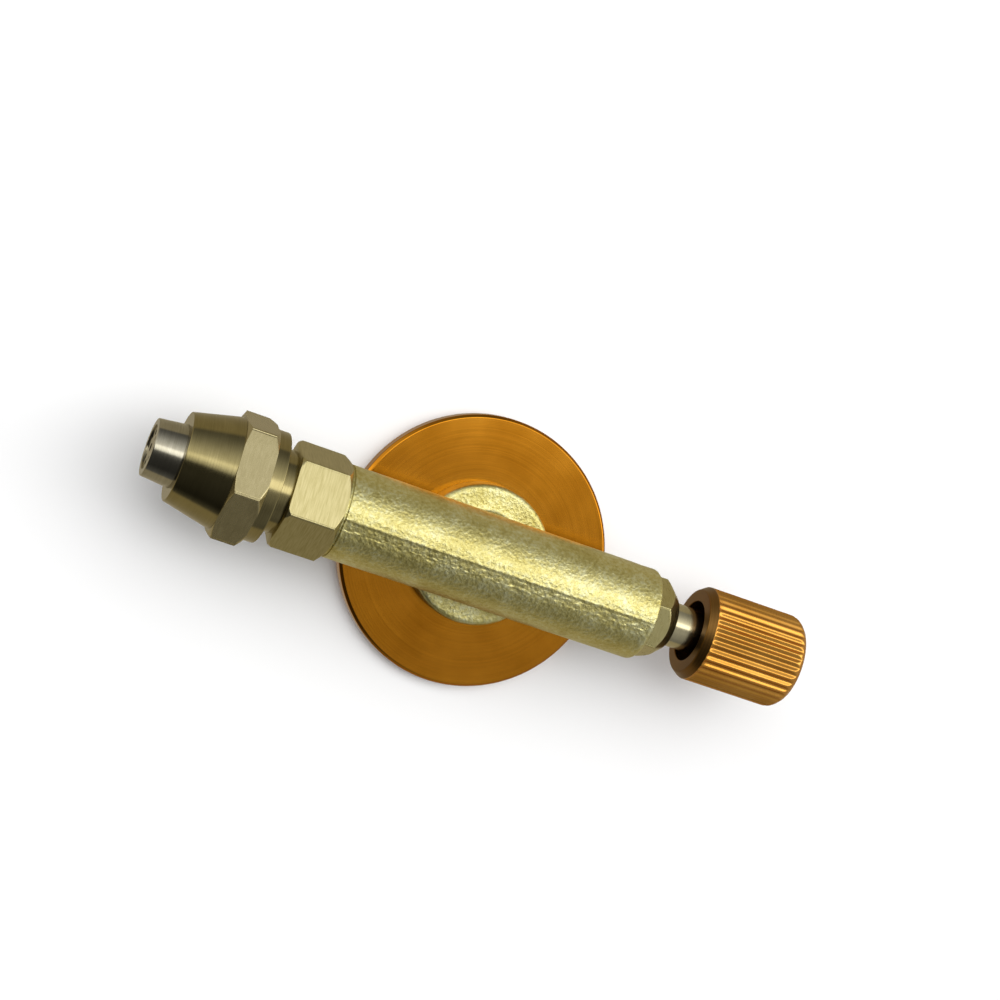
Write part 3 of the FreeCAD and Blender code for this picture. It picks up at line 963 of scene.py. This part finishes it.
# --- CAD nodes that keep their own shape ---
KEPT = {
    "flange_ring_nut": BRIGHT, "inlet_seal": RUBBER, "depressor_pin": BRIGHT, "inlet_filter": BRONZE,
    "valve_seat": TURNED, "stem_o_ring": RUBBER, "backup_washer": TURNED, "packing_ring": PTFE,
    "knob_washer": ZINC, "knob_screw": ZINC, "adapter_washer": COPPER, "jet_filter": BRONZE,
    "gas_jet": TURNED, "tip_gasket": PTFE, "flame_holder": TURNED,
}


def dress_kept_nodes():
    for name, material in KEPT.items():
        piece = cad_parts[name]
        if not piece.material_slots:
            piece.data.materials.append(material)
        for slot in piece.material_slots:
            slot.material = material


# --- studio ---
OVERHEAD_POWER = 1.35
OVERHEAD_SPREAD = 70                # degrees across the soft overhead light
OVERHEAD_LEAN = (-18, 6)            # degrees about X and Y
FLOOR_HALF = 30.0
FLOOR_TONE = (0.93, 0.93, 0.93, 1)
BACKGROUND_TONE = (1, 1, 1, 1)
TABLE_TONE = (0.43, 0.38, 0.27, 1)  # what the metal mirrors below the horizon, duller than the floor itself
ROOM_GAIN = 2.7
# (sine of the angle from overhead towards +Y, brightness): a long softbox past overhead, then a grey wall
ROOM = [(-1.0, 0.05), (-0.80, 0.12), (-0.35, 0.18), (-0.10, 0.16), (0.01, 0.22), (0.07, 0.98), (0.30, 1.02),
        (0.41, 0.50), (0.60, 0.34), (0.84, 0.16), (1.0, 0.05)]
SHADE_TOWARDS = (-0.60, -0.50, 0.62)    # the side of the room that gives little light
SHADE_SHARE = 0.12


def soft_overhead():
    """An even light from above that brightens the floor and leaves the metal's reflections to the room."""
    data = bpy.data.lights.new("overhead", "SUN")
    data.energy = OVERHEAD_POWER
    data.angle = math.radians(OVERHEAD_SPREAD)
    lamp = linked_object("overhead", data)
    lamp.rotation_euler = (math.radians(OVERHEAD_LEAN[0]), math.radians(OVERHEAD_LEAN[1]), 0)
    lamp.visible_glossy = False


def pale_floor():
    half = FLOOR_HALF
    corners = [(-half, -half, 0), (half, -half, 0), (half, half, 0), (-half, half, 0)]
    mesh = bpy.data.meshes.new("floor")
    mesh.from_pydata(corners, [], [(0, 1, 2, 3)])
    floor = linked_object("floor", mesh)
    floor.visible_glossy = False
    material, tree, _ = new_material("pale_floor")
    finish_shader(tree, Base_Color=FLOOR_TONE, Roughness=0.9, Specular_IOR_Level=0.1)
    mesh.materials.append(material)


def studio_room():
    """The room that the metal mirrors: the softbox and wall above the table, and the table below it."""
    world = bpy.data.worlds.new("studio")
    bpy.context.scene.world = world
    world.use_nodes = True
    tree = world.node_tree
    tree.nodes.clear()
    towards = tree.nodes.new("ShaderNodeTexCoord").outputs["Generated"]
    side = node(tree, "SeparateXYZ", Vector=towards).outputs["Y"]
    across = node(tree, "MapRange", Value=side, From_Min=-1.0, From_Max=1.0).outputs["Result"]
    room = ramp(tree, across, [((u + 1) / 2, (v, v, v)) for u, v in ROOM])
    facing = node(tree, "VectorMath", {"operation": "DOT_PRODUCT"}, i0=towards, i1=SHADE_TOWARDS)
    near = facing.outputs["Value"]
    shade = node(tree, "MapRange", Value=near, From_Min=0.54, From_Max=0.76,
                 To_Min=ROOM_GAIN, To_Max=SHADE_SHARE * ROOM_GAIN)
    upper = node(tree, "Background", Color=room, Strength=shade.outputs["Result"])
    table = node(tree, "Background", Color=TABLE_TONE, Strength=1.0)
    height = node(tree, "SeparateXYZ", Vector=towards).outputs["Z"]
    below = node(tree, "MapRange", Value=height, From_Min=0.04, From_Max=-0.04).outputs["Result"]
    mirrored = node(tree, "MixShader", Fac=below, i1=upper.outputs[0], i2=table.outputs[0])
    plain = node(tree, "Background", Color=BACKGROUND_TONE, Strength=1.0)
    seen = node(tree, "LightPath").outputs["Is Camera Ray"]
    both = node(tree, "MixShader", Fac=seen, i1=mirrored.outputs[0], i2=plain.outputs[0])
    node(tree, "OutputWorld", Surface=both.outputs[0])


CAMERA_PLACE = Vector((-0.09563, 0.01878, 0.32429))
CAMERA_TARGET = Vector((-0.00303, 0.00914, 0.01640))
CAMERA_ROLL = 19.81                 # degrees that the camera's up leans from +Y towards -X
CAMERA_LENS = 79.2
CAMERA_SENSOR = 36


def camera():
    data = bpy.data.cameras.new("camera")
    data.sensor_width = CAMERA_SENSOR
    data.lens = CAMERA_LENS
    data.clip_start = 0.01
    view = linked_object("camera", data)
    forward = (CAMERA_TARGET - CAMERA_PLACE).normalized()
    up = Vector((0, 1, 0))
    up = (up - forward * up.dot(forward)).normalized()
    up = Matrix.Rotation(math.radians(CAMERA_ROLL), 3, -forward) @ up
    right = forward.cross(up)
    turn = Matrix((right, up, -forward)).transposed()
    view.matrix_world = Matrix.Translation(CAMERA_PLACE) @ turn.to_4x4()
    bpy.context.scene.camera = view


forged_body()
nozzle_cap()
nozzle_adapter()
nozzle_tip()
gland_nut()
spindle()
flange_disc()
knob()
inlet_thread()
dress_kept_nodes()
pale_floor()
studio_room()
soft_overhead()
camera()
bpy.context.scene.view_settings.view_transform = "Standard"
